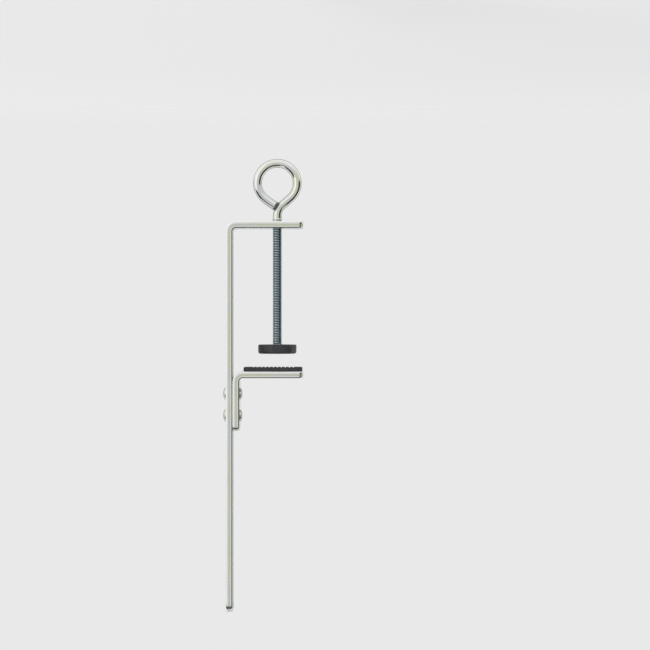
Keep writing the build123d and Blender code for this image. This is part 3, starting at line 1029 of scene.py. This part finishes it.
wire_tints = [
    (190.0, (0.72, 0.75, 0.70)), (203.0, (0.70, 0.745, 0.62)), (212.0, (0.74, 0.74, 0.72)), (225.0, (0.73, 0.755, 0.58)),
    (238.0, (0.75, 0.75, 0.74)), (252.0, (0.75, 0.765, 0.66)), (266.0, (0.72, 0.72, 0.74)), (280.0, (0.74, 0.745, 0.74)), (292.0, (0.64, 0.745, 0.68)),
]
strip_mat = zinc("zinc_strip", extra=("shear",))
wire_mat = zinc("zinc_wire", tints=wire_tints, rough=0.11, scratched=0.35, grain=0.12, extra=("groove", "cut", "painted_slit_shade"))
rivet_mat = zinc("zinc_rivet", lines_axis=2, rough=0.22)
disc_mat = zinc("zinc_disc", lines_axis=2, rough=0.26, tint=0.6)
pad_mat = soft_black("black_rubber", (0.030, 0.030, 0.032), 0.55, 3.5, 0.00006)
cap_mat = soft_black("black_vinyl", (0.028, 0.028, 0.031), 0.34, 2.0, 0.00003)
for o, mt in (
    (clamp_bar, strip_mat), (upper_jaw, strip_mat), (eye_screw, wire_mat), (jaw_rivets, rivet_mat),
    (swivel_disc, disc_mat), (jaw_pad, pad_mat), (disc_cap, cap_mat),
):
    o.data.materials.clear()
    o.data.materials.append(mt)

# ------------------------------------------------------------------ studio
scene = bpy.context.scene
scene.view_settings.view_transform = "Standard"
scene.view_settings.look = "None"

# pale floor, well below the screw's lowest place, fading into the pale background
floor_z = cad_lo.z - 0.110
bpy.ops.mesh.primitive_circle_add(vertices=128, radius=2.2, fill_type="TRIFAN", location=(0, 0, floor_z))
floor = bpy.context.object
floor.name = "floor"
fm = bpy.data.materials.new("pale_floor")
fm.use_nodes = True
ft = fm.node_tree
ft.nodes.clear()
out = ft.nodes.new("ShaderNodeOutputMaterial")
dif = ft.nodes.new("ShaderNodeBsdfDiffuse")
dif.inputs["Color"].default_value = (0.705, 0.705, 0.71, 1)
clear = ft.nodes.new("ShaderNodeBsdfTransparent")
mixer = ft.nodes.new("ShaderNodeMixShader")
geo = ft.nodes.new("ShaderNodeTexCoord")
length = ft.nodes.new("ShaderNodeVectorMath")
length.operation = "LENGTH"
ramp = ft.nodes.new("ShaderNodeMapRange")
ramp.interpolation_type = "SMOOTHSTEP"
ramp.inputs["From Min"].default_value = 0.30
ramp.inputs["From Max"].default_value = 1.10
ft.links.new(geo.outputs["Object"], length.inputs[0])
ft.links.new(length.outputs["Value"], ramp.inputs["Value"])
ft.links.new(ramp.outputs["Result"], mixer.inputs[0])
ft.links.new(dif.outputs[0], mixer.inputs[1])
ft.links.new(clear.outputs[0], mixer.inputs[2])
ft.links.new(mixer.outputs[0], out.inputs["Surface"])
floor.data.materials.append(fm)
floor.visible_glossy = False

# world: an even pale background, and a soft studio for reflections
world = bpy.data.worlds.new("studio")
scene.world = world
world.use_nodes = True
wt = world.node_tree
wt.nodes.clear()
w_out = wt.nodes.new("ShaderNodeOutputWorld")
w_bg = wt.nodes.new("ShaderNodeBackground")
w_plain = wt.nodes.new("ShaderNodeBackground")
w_mix = wt.nodes.new("ShaderNodeMixShader")
w_path = wt.nodes.new("ShaderNodeLightPath")
w_plain.inputs["Color"].default_value = (0.815, 0.815, 0.82, 1)
w_tc = wt.nodes.new("ShaderNodeTexCoord")


w_xyz = wt.nodes.new("ShaderNodeSeparateXYZ")
wt.links.new(w_tc.outputs["Generated"], w_xyz.inputs["Vector"])


def w_math(op, a, b=None):
    n = wt.nodes.new("ShaderNodeMath")
    n.operation = op
    for i, x in enumerate((a, b)):
        if isinstance(x, (int, float)):
            n.inputs[i].default_value = x
        elif x is not None:
            wt.links.new(x, n.inputs[i])
    return n.outputs[0]


def w_step(value, start, full):
    """0 at start, 1 at full, smooth between."""
    rng = wt.nodes.new("ShaderNodeMapRange")
    rng.interpolation_type = "SMOOTHSTEP"
    flip = full < start
    rng.inputs["From Min"].default_value = full if flip else start
    rng.inputs["From Max"].default_value = start if flip else full
    wt.links.new(value, rng.inputs["Value"])
    return w_math("SUBTRACT", 1.0, rng.outputs["Result"]) if flip else rng.outputs["Result"]


def w_round(direction, start, full):
    """A soft-edged round patch of the studio, by its angles from a direction."""
    dot = wt.nodes.new("ShaderNodeVectorMath")
    dot.operation = "DOT_PRODUCT"
    dot.inputs[1].default_value = Vector(direction).normalized()
    wt.links.new(w_tc.outputs["Generated"], dot.inputs[0])
    return w_step(dot.outputs["Value"], math.cos(math.radians(start)), math.cos(math.radians(full)))


def w_over(previous, mask, colour):
    mx = wt.nodes.new("ShaderNodeMix")
    mx.data_type = "RGBA"
    wt.links.new(mask, mx.inputs[0])
    if isinstance(previous, tuple):
        mx.inputs[6].default_value = (*previous, 1)
    else:
        wt.links.new(previous, mx.inputs[6])
    mx.inputs[7].default_value = (*colour, 1)
    return mx.outputs[2]


# a pale room: a ring of soft light just behind the clamp's plane, and a dark arch just before it, which draw the metal's edges
sky = (0.76, 0.765, 0.77)
sky = w_over(sky, w_round((0, -1, 0), 44, 26), (0.71, 0.715, 0.70))
sky = w_over(sky, w_step(w_xyz.outputs["Y"], -0.03, 0.10), (1.50, 1.50, 1.51))
sky = w_over(sky, w_step(w_xyz.outputs["Y"], 0.38, 0.54), (0.38, 0.38, 0.39))
sky = w_over(sky, w_step(w_xyz.outputs["Y"], 0.82, 0.92), (0.95, 0.965, 0.96))
sky = w_over(sky, w_round((0, -0.50, -0.87), 50, 34), (1.02, 1.02, 1.01))
# quieter on both sides, where the strip's wide faces look
sky = w_over(sky, w_round((1, 0, 0.03), 24, 13), (0.80, 0.805, 0.81))
sky = w_over(sky, w_round((-1, 0, 0.03), 24, 13), (0.80, 0.805, 0.81))
sky = w_over(sky, w_round((0.72, -0.62, -0.25), 34, 24), (1.25, 1.25, 1.26))
tilt = wt.nodes.new("ShaderNodeVectorMath")
tilt.operation = "DOT_PRODUCT"
tilt.inputs[1].default_value = (-0.208, 0.0, 0.978)
wt.links.new(w_tc.outputs["Generated"], tilt.inputs[0])
depth_in = w_step(w_xyz.outputs["Y"], -0.83, -0.70)
depth_out = w_step(w_xyz.outputs["Y"], 0.20, 0.02)
arch = w_math("MULTIPLY", w_math("MULTIPLY", depth_in, depth_out), w_step(tilt.outputs["Value"], -0.04, 0.10))
sky = w_over(sky, arch, (0.055, 0.064, 0.056))
sky = w_over(sky, w_round((0.34, -0.30, 0.89), 12, 7), (1.7, 1.7, 1.72))
wt.links.new(sky, w_bg.inputs["Color"])
w_bg.inputs["Strength"].default_value = 1.0
wt.links.new(w_math("MAXIMUM", w_path.outputs["Is Camera Ray"], w_path.outputs["Is Diffuse Ray"]), w_mix.inputs[0])
wt.links.new(w_bg.outputs[0], w_mix.inputs[1])
wt.links.new(w_plain.outputs[0], w_mix.inputs[2])
wt.links.new(w_mix.outputs[0], w_out.inputs["Surface"])


def softbox(name, at, look, size, power, colour=(1, 1, 1)):
    data = bpy.data.lights.new(name, "AREA")
    data.shape = "RECTANGLE"
    data.size, data.size_y = size
    data.energy = power
    data.color = colour
    o = bpy.data.objects.new(name, data)
    scene.collection.objects.link(o)
    o.location = at
    o.rotation_mode = "QUATERNION"
    o.rotation_quaternion = (Vector(look) - Vector(at)).to_track_quat("-Z", "Y")
    o.visible_camera = False
    o.visible_glossy = False
    return o


mid = (cad_lo + cad_hi) / 2
softbox("key", (0.9, -1.1, 1.3), mid, (0.9, 0.9), 12)
softbox("fill", (-1.3, -0.7, 0.5), mid, (0.7, 1.2), 4)
softbox("rim", (0.4, 1.4, 0.9), mid, (1.0, 0.6), 5)

# ------------------------------------------------------------------ camera
# square on to the clamp's edge, rolled half a turn: the eye is at the top, as it hangs in its pack
DIST = 1.25
PX = 0.0006                     # metres per pixel at the clamp
cam_data = bpy.data.cameras.new("camera")
cam_data.sensor_width = 36.0
cam_data.lens = 36.0 * DIST / (650 * PX)
cam = bpy.data.objects.new("camera", cam_data)
scene.collection.objects.link(cam)
cam_at = Vector((-0.0286, -DIST, -0.0252))
right, up, back = Vector((-1, 0, 0)), Vector((0, 0, -1)), Vector((0, -1, 0))
cam.matrix_world = Matrix((
    (right.x, up.x, back.x, cam_at.x),
    (right.y, up.y, back.y, cam_at.y),
    (right.z, up.z, back.z, cam_at.z),
    (0, 0, 0, 1),
))
cam_data.clip_start, cam_data.clip_end = 0.05, 50
scene.camera = cam
